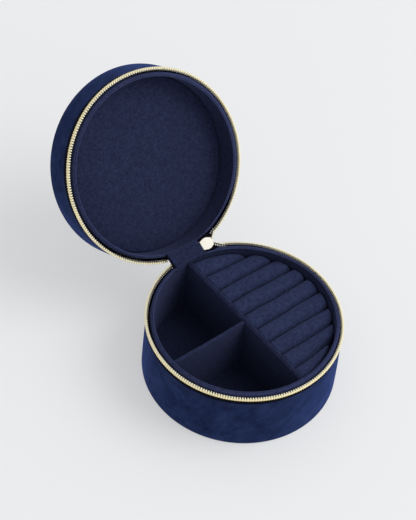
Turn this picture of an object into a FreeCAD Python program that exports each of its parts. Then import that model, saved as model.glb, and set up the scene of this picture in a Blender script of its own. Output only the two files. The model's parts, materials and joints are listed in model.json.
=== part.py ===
import FreeCAD, Part
import math
import os

V = FreeCAD.Vector

# Round zip-around jewellery case in millimetres, +Z up, the hinge at the +Y side.
# The origin is the middle of the underside. The lid stands open on its stop.

# Shell
CASE_RADIUS = 54.45      # outside of the velvet wall
MEETING_HEIGHT = 42.9    # plane where the base and the lid meet when closed
LID_HEIGHT = 23.0        # from the meeting plane to the top of the lid
OPEN_ANGLE = 128.0       # how far the lid stands open
EDGE_ROUND = 1.6         # rounded outer edge of the velvet
VELVET = 0.7             # velvet on the wall
END_VELVET = 0.8         # velvet under the base and on top of the lid
END_LIFT = 0.2           # the wall velvet ends this far inside the end velvet
WALL_BOARD = 0.85        # outer card of the wall
END_BOARD = 2.0          # card of the floor and of the lid's top
LINER_BOARD = 0.8        # inner card that carries the lining
LINING = 0.45            # suede lining of the wall
FLOOR_LINING = 0.6       # lining of the base's floor
LID_PANEL = 5.4          # padded panel inside the lid
PANEL_ROUND = 1.0        # rounded edge of that panel
GLUE = 0.05              # glue line between two layers
RIM_GAP = 0.4            # between the two rims when closed
RIM_ROUND = 0.4          # rounded corners of the rim
RETURN_DROP = 7.0        # the lining turns over the rim down to here
BOARD_DROP = 5.4         # top of the outer card below the meeting plane
HEM_DROP = 4.4           # top of the velvet below the meeting plane

# Zip
TAPE = 0.35              # thickness of the tape
TAPE_TAIL_DROP = 10.0    # lower edge of the tape, behind the velvet
TAPE_TOP_DROP = 3.5      # where the tape has flared out to the teeth
TEETH_STAND_OUT = 0.15   # the teeth's middle outside the velvet
TOOTH_DEPTH = 1.6        # radial
TOOTH_HEIGHT = 2.0       # along the case's axis
TOOTH_HEAD = 0.95        # width at the meeting side
TOOTH_TAIL = 0.75        # width at the tape
TOOTH_PITCH = 1.45
TEETH_GAP = 1.2          # between the two rows when closed
RIGHT_END = 24.0         # where the rows start, in degrees clockwise from the hinge
LEFT_END = 12.6          # where the rows end, in degrees short of the hinge

# Hinge
HINGE_OUT = 0.13         # lid axis outside the velvet
HINGE_DROP = 1.59        # lid axis below the meeting plane
FOLD_IN = 0.85           # strip axis inside the velvet
FOLD_DROP = 1.4          # strip axis below the meeting plane
STRIP_WIDTH = 20.6
STRIP_SHIFT = -0.9       # the strip's middle along X
STRIP = 0.6              # thickness of its lining
STRIP_SEAT = 0.5         # the rims are lower by this under the strip
STRIP_CLEAR = 0.06       # between the strip and the rims
SPINE_ROUND = 0.9        # fold of the velvet spine, at its middle
RELIEF_DROP = 5.2        # behind the hinge and the slider only the lining is left, down to here

# Slider and pull
PARK_ANGLE = 14.2        # slider's place, in degrees clockwise from the hinge
SLIDER_LENGTH = 7.0
SLIDER_WIDTH = 6.8
SLIDER_REAR = 5.2        # width of its straight rear edge
SLIDER_PLATE = 0.6
SLIDER_CLEAR = 0.3       # between a plate and the teeth
FLANGE_HEIGHT = 0.55
FLANGE_CLEAR = 0.15      # between a flange and the teeth
WEDGE_WIDTH = 0.9        # post between the two rows
WEDGE_LENGTH = 2.6
BAIL_SPAN = 4.4
BAIL_WIDTH = 1.4
BAIL_STRAP = 0.65
PULL_BAR = 0.9           # diameter of the pull's bar under the bail
PULL_PLAY = 0.1          # round that bar
PULL_LENGTH = 15.0
PULL_WIDTH = 5.0
PULL_EYE = 3.8           # width at the eye
PULL_THICK = 0.8
PULL_WINDOW = 2.3        # length of the eye's opening
PULL_ARM = 0.65          # width of the arms beside the eye

# Insert
INSERT_TURN = 2.8        # the whole insert is turned this much, in degrees
INSERT_CLEAR = 0.1       # round each piece of the insert
DIVIDER_SHIFT = 1.25     # main divider's middle along X
DIVIDER_BOARD = 1.2
DIVIDER_LINING = 0.7
DIVIDER_TOP = 39.8
CROSS_SHIFT = 0.4        # cross divider's middle along Y
CROSS_BOARD = 1.0
CROSS_LINING = 0.6
ROLL_COUNT = 9
ROLL_GAP = 0.2           # between two ring rolls
ROLL_TOP = 38.6
ROLL_RISE = 4.8          # crown of a roll above its straight sides
ROLL_END_ROUND = 4.6     # rounded end at the wall
RISER_HEIGHT = 13.0      # foam block under the rolls

# Radii of the wall's layers, from the outside in
velvet_inner = CASE_RADIUS - VELVET
tape_outer = velvet_inner - GLUE
tape_inner = tape_outer - TAPE
board_outer = tape_inner - GLUE
board_inner = board_outer - WALL_BOARD
return_outer = board_inner - GLUE
return_inner = return_outer - LINING
liner_outer = return_inner - GLUE
liner_inner = liner_outer - LINER_BOARD
lining_outer = liner_inner - GLUE
inside_radius = lining_outer - LINING
teeth_radius = CASE_RADIUS + TEETH_STAND_OUT

# Drops below the meeting plane, or above it in the lid
rim_drop = RIM_GAP / 2
teeth_top_drop = TEETH_GAP / 2
teeth_tail_drop = teeth_top_drop + TOOTH_HEIGHT
end_stack = END_VELVET + GLUE + END_BOARD + GLUE
BASE, LID = -1, 1
DEPTH = {BASE: MEETING_HEIGHT, LID: LID_HEIGHT}

# Axes of the lid and of the hinge strip, both along X
hinge_axis = V(0, CASE_RADIUS + HINGE_OUT, MEETING_HEIGHT - HINGE_DROP)
fold_axis = V(0, CASE_RADIUS - FOLD_IN, MEETING_HEIGHT - FOLD_DROP)
OPENING = V(-1, 0, 0)


def face(points, place):
    # A closed outline. A point (a, b) ends a line; (ma, mb, a, b) ends an arc through (ma, mb).
    at = place(*points[0])
    edges = []
    for step in list(points[1:]) + [points[0][-2:]]:
        end = place(*step[-2:])
        if at.distanceToPoint(end) < 1e-9:
            continue
        if len(step) == 4:
            edges.append(Part.Arc(at, place(*step[:2]), end).toShape())
        else:
            edges.append(Part.LineSegment(at, end).toShape())
        at = end
    return Part.Face(Part.Wire(edges))


def upright(shape):
    # A solid with its faces turned outwards.
    if shape.Volume < 0:
        shape.reverse()
    return shape


def turned(points, first=0.0, last=360.0):
    # A (radius, z) outline turned about Z, between two angles clockwise from the hinge.
    section = face(points, lambda r, z: V(r, 0, z))
    section.rotate(V(), V(0, 0, 1), 90 - last)
    return upright(section.revolve(V(), V(0, 0, 1), last - first))


def level(side, drop):
    return MEETING_HEIGHT + side * drop


def half_ring(side, points, first=0.0, last=360.0):
    # The same for one half of the case, with drops from the meeting plane in place of z.
    levels = []
    for point in points:
        step = list(point)
        step[1::2] = [level(side, drop) for drop in step[1::2]]
        levels.append(step)
    return turned(levels, first, last)


def band(side, inner, outer, top, end, first=0.0, last=360.0):
    # A ring or disc of one half with a square section, between two radii and two drops.
    return half_ring(side, [(inner, top), (outer, top), (outer, end), (inner, end)], first, last)


def round_mid(centre_a, centre_b, radius, sign_a, sign_b):
    # Middle point of a quarter arc.
    reach = radius * math.sqrt(0.5)
    return (centre_a + sign_a * reach, centre_b + sign_b * reach)


def extruded(points, place, along):
    return upright(face(points, place).extrude(along))


def opened(shape):
    # A piece of the lid, from closed to its open place.
    moved = shape.copy()
    moved.rotate(hinge_axis, OPENING, OPEN_ANGLE)
    return moved


def half_opened(shape):
    # A piece on the hinge strip, from closed to its place with the lid open.
    moved = shape.copy()
    moved.rotate(fold_axis, OPENING, OPEN_ANGLE / 2)
    return moved


def opened_point(y, z):
    turn = FreeCAD.Rotation(OPENING, OPEN_ANGLE)
    return hinge_axis + turn.multVec(V(0, y, z) - hinge_axis)


# Layers of one half, built closed


def wall_velvet(side):
    end = DEPTH[side] - END_LIFT
    bend = end - EDGE_ROUND
    mid = round_mid(CASE_RADIUS - EDGE_ROUND, bend, EDGE_ROUND, 1, 1)
    return half_ring(side, [
        (velvet_inner, HEM_DROP),
        (CASE_RADIUS, HEM_DROP),
        (CASE_RADIUS, bend),
        mid + (CASE_RADIUS - EDGE_ROUND, end),
        (velvet_inner - EDGE_ROUND, end),
        (velvet_inner - EDGE_ROUND, end - VELVET),
        (velvet_inner, end - VELVET),
    ])


def end_velvet(side):
    radius = velvet_inner - EDGE_ROUND - GLUE
    return band(side, 0, radius, DEPTH[side] - END_VELVET, DEPTH[side])


def wall_board(side):
    end = DEPTH[side] - END_LIFT - VELVET - GLUE
    return band(side, board_inner, board_outer, BOARD_DROP, end)


def end_board(side):
    outer = DEPTH[side] - END_LIFT - VELVET - GLUE
    inner = DEPTH[side] - end_stack + GLUE
    return band(side, 0, board_inner - GLUE, inner, outer)


def hinge_recess(side):
    # Room behind the hinge and the parked slider: the rim is bare lining here, lower under the strip.
    outside = CASE_RADIUS + TOOTH_DEPTH
    recess = band(side, lining_outer, outside, 0, RELIEF_DROP, -LEFT_END, RIGHT_END)
    seat_left = math.degrees(math.asin((STRIP_SHIFT - STRIP_WIDTH / 2) / inside_radius))
    seat_right = math.degrees(math.asin((STRIP_SHIFT + STRIP_WIDTH / 2) / inside_radius))
    seat = band(side, inside_radius - LINING, outside, 0, rim_drop + STRIP_SEAT, seat_left, seat_right)
    return recess.fuse(seat)


def liner_board(side, recess):
    top = rim_drop + LINING + GLUE
    ring = band(side, liner_inner, liner_outer, top, DEPTH[side] - end_stack)
    return ring.cut(recess)


def wall_lining(side, recess):
    end = DEPTH[side] - end_stack
    bend = rim_drop + RIM_ROUND
    inner_mid = round_mid(inside_radius + RIM_ROUND, bend, RIM_ROUND, -1, -1)
    outer_mid = round_mid(return_outer - RIM_ROUND, bend, RIM_ROUND, 1, -1)
    ring = half_ring(side, [
        (inside_radius, end),
        (inside_radius, bend),
        inner_mid + (inside_radius + RIM_ROUND, rim_drop),
        (return_outer - RIM_ROUND, rim_drop),
        outer_mid + (return_outer, bend),
        (return_outer, RETURN_DROP),
        (return_inner, RETURN_DROP),
        (return_inner, rim_drop + LINING),
        (lining_outer, rim_drop + LINING),
        (lining_outer, end),
    ])
    return ring.cut(recess)


def zip_tape(side):
    flare_inner = teeth_radius - TAPE / 2
    flare_outer = teeth_radius + TAPE / 2
    bend = HEM_DROP - GLUE
    top = teeth_tail_drop + GLUE
    return half_ring(side, [
        (tape_outer, TAPE_TAIL_DROP),
        (tape_outer, bend),
        (flare_outer, TAPE_TOP_DROP),
        (flare_outer, top),
        (flare_inner, top),
        (flare_inner, TAPE_TOP_DROP - TAPE / 2),
        (tape_inner, bend - TAPE / 2),
        (tape_inner, TAPE_TAIL_DROP),
    ], RIGHT_END, 360 - LEFT_END)


def zip_teeth(side):
    # One row: a tapered tooth, repeated along the tape.
    head, tail = level(side, teeth_top_drop), level(side, teeth_tail_drop)
    tooth = extruded(
        [(-TOOTH_TAIL / 2, tail), (TOOTH_TAIL / 2, tail), (TOOTH_HEAD / 2, head), (-TOOTH_HEAD / 2, head)],
        lambda x, z: V(x, teeth_radius - TOOTH_DEPTH / 2, z),
        V(0, TOOTH_DEPTH, 0))
    row_angle = 360 - LEFT_END - RIGHT_END
    count = int(math.radians(row_angle) * teeth_radius / TOOTH_PITCH)
    stagger = 0.25 if side == LID else 0.75
    step = row_angle / count
    teeth = []
    for number in range(count):
        copy = tooth.copy()
        copy.rotate(V(), V(0, 0, 1), -RIGHT_END - (number + stagger) * step)
        teeth.append(copy)
    return Part.makeCompound(teeth)


def floor_lining():
    bottom = DEPTH[BASE] - end_stack
    return band(BASE, 0, inside_radius - GLUE, bottom - FLOOR_LINING, bottom)


def lid_panel():
    outer = DEPTH[LID] - end_stack
    inner = outer - LID_PANEL
    radius = inside_radius - GLUE
    mid = round_mid(radius - PANEL_ROUND, inner + PANEL_ROUND, PANEL_ROUND, 1, -1)
    return half_ring(LID, [
        (0, inner),
        (radius - PANEL_ROUND, inner),
        mid + (radius, inner + PANEL_ROUND),
        (radius, outer),
        (0, outer),
    ])


# Insert of the base, built square to the axes and then turned a little

floor_top = end_stack + FLOOR_LINING
insert_radius = inside_radius - INSERT_CLEAR
insert_floor = floor_top + GLUE
divider_half = DIVIDER_BOARD / 2 + GLUE + DIVIDER_LINING
cross_half = CROSS_BOARD / 2 + GLUE + CROSS_LINING
roll_floor = insert_floor + RISER_HEIGHT + GLUE
roll_start = DIVIDER_SHIFT + divider_half + INSERT_CLEAR


def insert_turned(shape):
    moved = shape.copy()
    moved.rotate(V(), V(0, 0, 1), INSERT_TURN)
    return upright(moved)


def well(bottom, top):
    return Part.makeCylinder(insert_radius, top - bottom, V(0, 0, bottom))


def wrap_outline(half, board, lining):
    # Lining folded over a divider's card, with a round top edge.
    inner = board / 2 + GLUE
    shoulder = DIVIDER_TOP - half
    return [
        (-half, insert_floor),
        (-half, shoulder),
        (0, DIVIDER_TOP, half, shoulder),
        (half, insert_floor),
        (inner, insert_floor),
        (inner, DIVIDER_TOP - lining - half / 2),
        (-inner, DIVIDER_TOP - lining - half / 2),
        (-inner, insert_floor),
    ]


def card_outline(half, board, lining):
    top = DIVIDER_TOP - lining - half / 2 - GLUE
    return [(-board / 2, insert_floor), (-board / 2, top), (board / 2, top), (board / 2, insert_floor)]


def main_divider(outline):
    reach = CASE_RADIUS
    plate = extruded(outline, lambda x, z: V(DIVIDER_SHIFT + x, -reach, z), V(0, 2 * reach, 0))
    return insert_turned(plate.common(well(insert_floor, DIVIDER_TOP)))


def cross_divider(outline):
    reach = CASE_RADIUS
    end = DIVIDER_SHIFT - divider_half - INSERT_CLEAR
    plate = extruded(outline, lambda y, z: V(-reach, CROSS_SHIFT + y, z), V(reach + end, 0, 0))
    return insert_turned(plate.common(well(insert_floor, DIVIDER_TOP)))


def ring_riser():
    reach = CASE_RADIUS
    block = Part.makeBox(reach, 2 * reach, RISER_HEIGHT, V(roll_start, -reach, insert_floor))
    return insert_turned(block.common(well(insert_floor, insert_floor + RISER_HEIGHT)))


def roll_ends():
    # The wall's inside with a round upper edge: it gives every roll its soft end.
    top = ROLL_TOP + ROLL_RISE
    bend = ROLL_TOP - ROLL_END_ROUND
    crown = insert_radius - ROLL_END_ROUND
    mid = round_mid(crown, bend, ROLL_END_ROUND, 1, 1)
    return turned([
        (0, roll_floor),
        (insert_radius, roll_floor),
        (insert_radius, bend),
        mid + (crown, ROLL_TOP),
        (crown, top),
        (0, top),
    ])


def ring_roll(number, ends):
    pitch = 2 * insert_radius / ROLL_COUNT
    middle = insert_radius - (number + 0.5) * pitch
    half = (pitch - ROLL_GAP) / 2
    shoulder = ROLL_TOP - ROLL_RISE
    loaf = extruded(
        [(-half, roll_floor), (-half, shoulder), (0, ROLL_TOP, half, shoulder), (half, roll_floor)],
        lambda y, z: V(roll_start, middle + y, z),
        V(CASE_RADIUS, 0, 0))
    return insert_turned(loaf.common(ends))


# Hinge strip, slider and pull


def hinge_lining():
    # Flat strip from the base's inner rim edge to the lid's.
    seat = rim_drop + STRIP_SEAT
    start = V(0, inside_radius, level(BASE, seat) + STRIP_CLEAR)
    end = opened_point(inside_radius, level(LID, seat) - STRIP_CLEAR)
    run = (end - start).normalize()
    lift = V(0, -run.z, run.y) * STRIP
    left = V(STRIP_SHIFT - STRIP_WIDTH / 2, 0, 0)
    corners = [start, end, end + lift, start + lift]
    wire = Part.makePolygon([corner + left for corner in corners + corners[:1]])
    return upright(Part.Face(wire).extrude(V(STRIP_WIDTH, 0, 0)))


def hinge_velvet():
    # Outer velvet that bridges the two hems, folded up between them.
    middle = CASE_RADIUS - VELVET / 2
    hem = HEM_DROP - GLUE
    start = V(0, middle, level(BASE, hem))
    end = opened_point(middle, level(LID, hem))
    rise = V(0, 0, 1)
    fall = (opened_point(middle, level(LID, hem)) - opened_point(middle, level(LID, 0))).normalize()
    reach = (end.y - start.y) / fall.y
    apex = end - fall * reach
    setback = SPINE_ROUND * math.tan(math.radians(OPEN_ANGLE / 2))
    bisector = (fall - rise).normalize()
    centre = apex + bisector * (SPINE_ROUND / math.cos(math.radians(OPEN_ANGLE / 2)))
    turn_in = apex - rise * setback
    turn_out = apex + fall * setback
    across = {1: (V(0, -1, 0), V(0, -fall.z, fall.y)), -1: (V(0, 1, 0), V(0, fall.z, -fall.y))}

    def edge_points(sign):
        first, second = across[sign]
        offset = VELVET / 2
        crest = centre - bisector * (SPINE_ROUND + sign * offset)
        return [start + first * offset, turn_in + first * offset, crest,
                turn_out + second * offset, end + second * offset]

    outer, inner = edge_points(1), edge_points(-1)
    edges = [
        Part.LineSegment(outer[0], outer[1]),
        Part.Arc(outer[1], outer[2], outer[3]),
        Part.LineSegment(outer[3], outer[4]),
        Part.LineSegment(outer[4], inner[4]),
        Part.LineSegment(inner[4], inner[3]),
        Part.Arc(inner[3], inner[2], inner[1]),
        Part.LineSegment(inner[1], inner[0]),
        Part.LineSegment(inner[0], outer[0]),
    ]
    section = Part.Face(Part.Wire([edge.toShape() for edge in edges]))
    section.translate(V(STRIP_SHIFT - STRIP_WIDTH / 2, 0, 0))
    return upright(section.extrude(V(STRIP_WIDTH, 0, 0)))


# The slider's own frame: X along the zip to its nose, Y outwards, Z across the zip
inner_plate_face = teeth_radius - TOOTH_DEPTH / 2 - SLIDER_CLEAR
outer_plate_face = teeth_radius + TOOTH_DEPTH / 2 + SLIDER_CLEAR
outer_plate_top = outer_plate_face + SLIDER_PLATE
pull_axis_y = outer_plate_top + PULL_PLAY + PULL_BAR / 2


def parked(shape):
    # From the slider's own frame to its place beside the hinge, tilted with the strip.
    placed = shape.copy()
    placed.translate(V(0, 0, MEETING_HEIGHT))
    placed.rotate(V(), V(0, 0, 1), -PARK_ANGLE)
    return half_opened(placed)


def slider_plate(y, thickness):
    half = SLIDER_LENGTH / 2
    rear, side = SLIDER_REAR / 2, SLIDER_WIDTH / 2
    shoulder = half - side
    return extruded(
        [(-half, -rear), (shoulder - side / 4, -side), (shoulder, -side),
         (half, 0, shoulder, side), (shoulder - side / 4, side), (-half, rear)],
        lambda x, z: V(x, y, z),
        V(0, thickness, 0))


def slider_flanges(y):
    # The plate's edges, turned in towards the other plate beside the teeth.
    inside = teeth_tail_drop + FLANGE_CLEAR
    rim = slider_plate(y, FLANGE_HEIGHT)
    channel = Part.makeBox(
        2 * SLIDER_LENGTH, 3 * FLANGE_HEIGHT, 2 * inside,
        V(-SLIDER_LENGTH, y - FLANGE_HEIGHT, -inside))
    return rim.cut(channel)


def zip_slider():
    half = WEDGE_LENGTH / 2
    nose = SLIDER_LENGTH / 2 - WEDGE_LENGTH / 2 - WEDGE_WIDTH / 2
    wedge = extruded(
        [(nose - half, 0), (nose, -WEDGE_WIDTH / 2), (nose + half, 0), (nose, WEDGE_WIDTH / 2)],
        lambda x, z: V(x, inner_plate_face, z),
        V(0, outer_plate_face - inner_plate_face, 0))
    span = BAIL_SPAN / 2
    under = pull_axis_y + PULL_BAR / 2 + PULL_PLAY
    bail = extruded(
        [(-span, outer_plate_top), (0, under + BAIL_STRAP, span, outer_plate_top),
         (span - BAIL_STRAP, outer_plate_top), (0, under, BAIL_STRAP - span, outer_plate_top)],
        lambda x, y: V(x, y, -BAIL_WIDTH / 2),
        V(0, 0, BAIL_WIDTH))
    pieces = [
        slider_plate(outer_plate_face, SLIDER_PLATE),
        slider_flanges(inner_plate_face),
        slider_flanges(outer_plate_face - FLANGE_HEIGHT),
        wedge,
        bail,
    ]
    slider = slider_plate(inner_plate_face - SLIDER_PLATE, SLIDER_PLATE)
    for piece in pieces:
        slider = slider.fuse(piece)
    return parked(slider.removeSplitter())


def zip_pull():
    # It hangs from its bar: built along +Y, square to the case, whatever the slider's angle.
    eye, tab, end = PULL_EYE / 2, PULL_WIDTH / 2, PULL_LENGTH
    neck = PULL_BAR / 2 + PULL_WINDOW
    blade = extruded(
        [(0, -eye), (neck, -eye), (2 * neck, -tab), (end - tab, -tab),
         (end, 0, end - tab, tab), (2 * neck, tab), (neck, eye), (0, eye)],
        lambda y, z: V(-PULL_THICK / 2, y, z),
        V(PULL_THICK, 0, 0))
    opening = eye - PULL_ARM
    window = Part.makeBox(
        2 * PULL_THICK, PULL_WINDOW + PULL_BAR, 2 * opening,
        V(-PULL_THICK, -PULL_BAR / 2, -opening))
    bar = Part.makeCylinder(PULL_BAR / 2, PULL_EYE, V(0, 0, -eye))
    pull = blade.cut(window).fuse(bar).removeSplitter()
    pull.rotate(V(), V(0, 0, 1), PARK_ANGLE)
    pull.translate(V(0, pull_axis_y, 0))
    return parked(pull)


# Pieces by the name of their node


def all_pieces():
    pieces = {}
    for side, name, place in ((BASE, "base", lambda shape: shape), (LID, "lid", opened)):
        end_name = "bottom" if side == BASE else "top"
        recess = hinge_recess(side)
        layers = {
            "wall_velvet": wall_velvet(side),
            end_name + "_velvet": end_velvet(side),
            "wall_board": wall_board(side),
            end_name + "_board": end_board(side),
            "liner_board": liner_board(side, recess),
            "wall_lining": wall_lining(side, recess),
            "zip_tape": zip_tape(side),
            "zip_teeth": zip_teeth(side),
        }
        for layer, shape in layers.items():
            pieces[name + "_" + layer] = place(shape)
    pieces["base_floor_lining"] = floor_lining()
    pieces["lid_panel"] = opened(lid_panel())
    main_sizes = (divider_half, DIVIDER_BOARD, DIVIDER_LINING)
    cross_sizes = (cross_half, CROSS_BOARD, CROSS_LINING)
    pieces["main_divider_board"] = main_divider(card_outline(*main_sizes))
    pieces["main_divider_lining"] = main_divider(wrap_outline(*main_sizes))
    pieces["cross_divider_board"] = cross_divider(card_outline(*cross_sizes))
    pieces["cross_divider_lining"] = cross_divider(wrap_outline(*cross_sizes))
    pieces["ring_riser"] = ring_riser()
    ends = roll_ends()
    for number in range(ROLL_COUNT):
        pieces["ring_roll_%d" % (number + 1)] = ring_roll(number, ends)
    pieces["hinge_lining"] = hinge_lining()
    pieces["hinge_velvet"] = hinge_velvet()
    pieces["zip_slider"] = zip_slider()
    pieces["zip_pull"] = zip_pull()
    return pieces


os.makedirs("parts", exist_ok=True)
for name, shape in all_pieces().items():
    shape.exportStep("parts/%s.step" % name)
    print(name, "solids", len(shape.Solids), "volume %.1f" % shape.Volume, "valid", shape.isValid())
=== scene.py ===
import json
import math

import bmesh
import bpy
from mathutils import Matrix, Vector, noise


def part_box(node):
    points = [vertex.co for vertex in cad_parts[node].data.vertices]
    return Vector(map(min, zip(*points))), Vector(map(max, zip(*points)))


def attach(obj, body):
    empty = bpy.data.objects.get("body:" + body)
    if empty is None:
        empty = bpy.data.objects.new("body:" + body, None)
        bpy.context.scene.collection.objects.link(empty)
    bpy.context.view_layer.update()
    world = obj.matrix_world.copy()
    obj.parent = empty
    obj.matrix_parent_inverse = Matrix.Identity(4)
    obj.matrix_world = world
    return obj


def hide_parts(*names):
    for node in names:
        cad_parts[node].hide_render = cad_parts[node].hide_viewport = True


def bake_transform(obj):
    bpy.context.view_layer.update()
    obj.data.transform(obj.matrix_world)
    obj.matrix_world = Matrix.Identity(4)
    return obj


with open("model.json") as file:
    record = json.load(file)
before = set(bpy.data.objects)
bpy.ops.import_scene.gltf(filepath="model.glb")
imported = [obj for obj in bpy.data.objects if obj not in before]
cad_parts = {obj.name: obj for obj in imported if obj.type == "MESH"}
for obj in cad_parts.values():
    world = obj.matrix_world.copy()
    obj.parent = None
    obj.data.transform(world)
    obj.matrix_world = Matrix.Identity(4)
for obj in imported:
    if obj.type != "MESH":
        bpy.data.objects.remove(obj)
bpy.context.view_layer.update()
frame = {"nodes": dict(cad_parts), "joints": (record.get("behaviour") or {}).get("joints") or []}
nodes = frame["nodes"]
joints = {joint["name"]: joint for joint in frame["joints"]}

# Lengths below are millimetres. Angles round the case run clockwise from the hinge, seen from above.
mm = 0.001
fullTurn = 2 * math.pi
halves = ("base", "lid")
case = {
    "radius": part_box("base_wall_velvet")[1].x / mm,
    "meeting": 42.9,                        # plane where base and lid meet when zipped up
    "side": {"base": -1, "lid": 1},
    "depth": {"base": 42.9, "lid": 23.0},
    "endStack": 2.9,                        # velvet, card and glue at each end
    "inside": 50.6,                         # radius of the lined inside
    "phase": {"base": 1.3, "lid": 3.7},     # where the slow waves of each rim start
}


def foldMatrix(jointName):
    joint = joints[jointName]
    at = Vector(joint["pos_m"]) / mm
    turn = Matrix.Rotation(math.radians(joint["range_deg"][0]), 4, Vector(joint["axis"]))
    return Matrix.Translation(at) @ turn @ Matrix.Translation(-at)


# Everything is drawn with the case zipped up, then put where it stands with the lid open
stripClosing = foldMatrix("strip_fold")
lidClosing = stripClosing @ foldMatrix("lid_fold")
openPlace = {"base": Matrix.Identity(4), "lid": lidClosing.inverted(), "strip": stripClosing.inverted()}


# Node helpers
def feed(tree, node, inputs):
    # a socket is linked, any other value is set
    for key, value in inputs.items():
        if isinstance(value, bpy.types.NodeSocket):
            tree.links.new(value, node.inputs[key])
        else:
            node.inputs[key].default_value = value


def addNode(tree, kind, inputs=None, **settings):
    node = tree.nodes.new(kind)
    for key, value in settings.items():
        setattr(node, key, value)
    feed(tree, node, inputs or {})
    return node.outputs


def newGroup(name, kind, inputs, outputs):
    group = bpy.data.node_groups.new(name, kind)
    for direction, sockets in (("INPUT", inputs), ("OUTPUT", outputs)):
        for title, socketType in sockets.items():
            group.interface.new_socket(title, in_out=direction, socket_type="NodeSocket" + socketType)
    return group


# Shader groups shared by several finishes
def buildNap():
    # soft pile: broad patches, slanting streaks and fine fibres
    group = newGroup("napMottle", "ShaderNodeTree",
                     {"Place": "Vector", "Patch Scale": "Float", "Streak Scale": "Float",
                      "Streak Share": "Float", "Fibre Scale": "Float"},
                     {"Shade": "Float", "Height": "Float"})
    source = addNode(group, "NodeGroupInput")
    patch = addNode(group, "ShaderNodeTexNoise", {
        "Vector": source["Place"], "Scale": source["Patch Scale"],
        "Detail": 3.0, "Roughness": 0.55, "Distortion": 0.6})
    slant = addNode(group, "ShaderNodeMapping", {
        "Vector": source["Place"], "Rotation": (0.0, 0.75, 0.0), "Scale": (1.0, 1.0, 4.0)},
        vector_type="TEXTURE")
    streak = addNode(group, "ShaderNodeTexNoise", {
        "Vector": slant["Vector"], "Scale": source["Streak Scale"], "Detail": 2.0, "Roughness": 0.6})
    blend = addNode(group, "ShaderNodeMix", {
        0: source["Streak Share"], 2: patch["Fac"], 3: streak["Fac"]}, data_type="FLOAT")
    contrast = addNode(group, "ShaderNodeMapRange", {"Value": blend[0], "From Min": 0.32, "From Max": 0.68})
    fibre = addNode(group, "ShaderNodeTexNoise", {
        "Vector": source["Place"], "Scale": source["Fibre Scale"], "Detail": 2.0, "Roughness": 0.7})
    addNode(group, "NodeGroupOutput", {"Shade": contrast["Result"], "Height": fibre["Fac"]})
    return group


def buildTarnish():
    group = newGroup("goldTarnish", "ShaderNodeTree", {"Place": "Vector", "Scale": "Float"},
                     {"Shade": "Float", "Height": "Float"})
    source = addNode(group, "NodeGroupInput")
    cloud = addNode(group, "ShaderNodeTexNoise", {
        "Vector": source["Place"], "Scale": source["Scale"], "Detail": 4.0, "Roughness": 0.6})
    grain = addNode(group, "ShaderNodeTexNoise", {"Vector": source["Place"], "Scale": 5000.0, "Detail": 1.0})
    addNode(group, "NodeGroupOutput", {"Shade": cloud["Fac"], "Height": grain["Fac"]})
    return group


# Patterns: node, socket of its place, settings, and its sockets of shade and height
patterns = {
    "nap": ("ShaderNodeGroup", "Place", {"node_tree": buildNap()}, "Shade", "Height"),
    "tarnish": ("ShaderNodeGroup", "Place", {"node_tree": buildTarnish()}, "Shade", "Height"),
    "weave": ("ShaderNodeTexWave", "Vector", {"bands_direction": "Z"}, "Fac", "Fac"),
    "fleck": ("ShaderNodeTexNoise", "Vector", {}, "Fac", "Fac"),
}


# Finishes
def newMaterial(name):
    material = bpy.data.materials.new(name)
    material.use_nodes = True
    return material, material.node_tree, material.node_tree.nodes["Principled BSDF"]


def newFinish(name, look):
    # cloth reads the place it was sewn in, the rest its own coordinates
    material, tree, shader = newMaterial(name)
    kind, reads, settings, shade, height = patterns[look["pattern"]]
    if look["pattern"] in ("nap", "weave"):
        place = addNode(tree, "ShaderNodeAttribute", attribute_name="clothPlace")["Vector"]
    else:
        place = addNode(tree, "ShaderNodeTexCoord")["Object"]
    made = addNode(tree, kind, {reads: place, **look["scales"]}, **settings)
    tint = addNode(tree, "ShaderNodeMix", {
        0: made[shade], 6: (*look["dark"], 1.0), 7: (*look["light"], 1.0)}, data_type="RGBA")
    rough = look["rough"]
    if "spread" in look:
        rough = addNode(tree, "ShaderNodeMapRange", {
            "Value": made[shade], "To Min": rough - look["spread"], "To Max": rough + look["spread"]})["Result"]
    bump = addNode(tree, "ShaderNodeBump", {
        "Height": made[height], "Strength": look["bump"], "Distance": look["relief"]})
    feed(tree, shader, {"Base Color": tint[2], "Roughness": rough, "Normal": bump["Normal"],
                        **look.get("shader", {})})
    return material


velvetLook = {
    "pattern": "nap", "dark": (0.0062, 0.0120, 0.0420), "light": (0.0203, 0.0352, 0.1125),
    "scales": {"Patch Scale": 62.0, "Streak Scale": 300.0, "Streak Share": 0.42, "Fibre Scale": 3200.0},
    "rough": 0.85, "spread": -0.06, "bump": 0.5, "relief": 0.0002,
    "shader": {"Specular IOR Level": 0.04, "Sheen Weight": 0.36, "Sheen Roughness": 0.3,
               "Sheen Tint": (0.13, 0.27, 1.0, 1.0)},
}
suedeLook = {
    "pattern": "nap", "dark": (0.0116, 0.0152, 0.039), "light": (0.0258, 0.0318, 0.077),
    "scales": {"Patch Scale": 560.0, "Streak Scale": 900.0, "Streak Share": 0.3, "Fibre Scale": 2000.0},
    "rough": 0.92, "spread": -0.06, "bump": 0.6, "relief": 0.0002,
    "shader": {"Specular IOR Level": 0.03, "Sheen Weight": 0.12, "Sheen Roughness": 0.5,
               "Sheen Tint": (0.4, 0.5, 1.0, 1.0)},
}
tapeLook = {
    "pattern": "weave", "dark": (0.0015, 0.0015, 0.0036), "light": (0.004, 0.004, 0.0075),
    "scales": {"Scale": 420.0, "Distortion": 1.5, "Detail": 1.0},
    "rough": 0.85, "bump": 0.5, "relief": 0.0001, "shader": {"Specular IOR Level": 0.05},
}
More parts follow.
